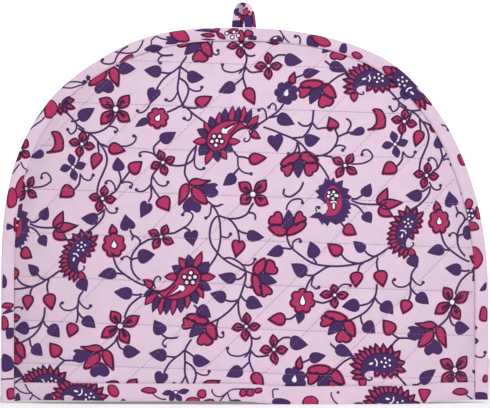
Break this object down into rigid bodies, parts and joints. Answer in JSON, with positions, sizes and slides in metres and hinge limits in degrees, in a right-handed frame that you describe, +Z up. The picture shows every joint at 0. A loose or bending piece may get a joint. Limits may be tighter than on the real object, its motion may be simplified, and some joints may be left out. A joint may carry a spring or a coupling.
{
  "type": "tea cosy",
  "caption": "Dome-shaped quilted cotton tea cosy, hollow and open below, bound round its edge, with a bound hem and a hanging loop on top.",
  "frame": {"origin": "on the table, under the middle of the cosy, level with the hem", "axes": "+Z up, +X to the viewer's right along the width, and the front faces -Y"},
  "size_m": [0.33, 0.0974, 0.2714],
  "materials": {
    "quilted_print": "quilted plain-weave cotton, pale lilac pink with a crimson and purple paisley and flower print",
    "strip_print": "folded strips of the same printed cotton, matt"
  },
  "bodies": {
    "root": {"front_panel": "quilted_print", "back_panel": "quilted_print", "edge_binding": "strip_print", "front_hem_band": "strip_print", "back_hem_band": "strip_print", "hanging_loop": "strip_print"}
  },
  "joints": []
}
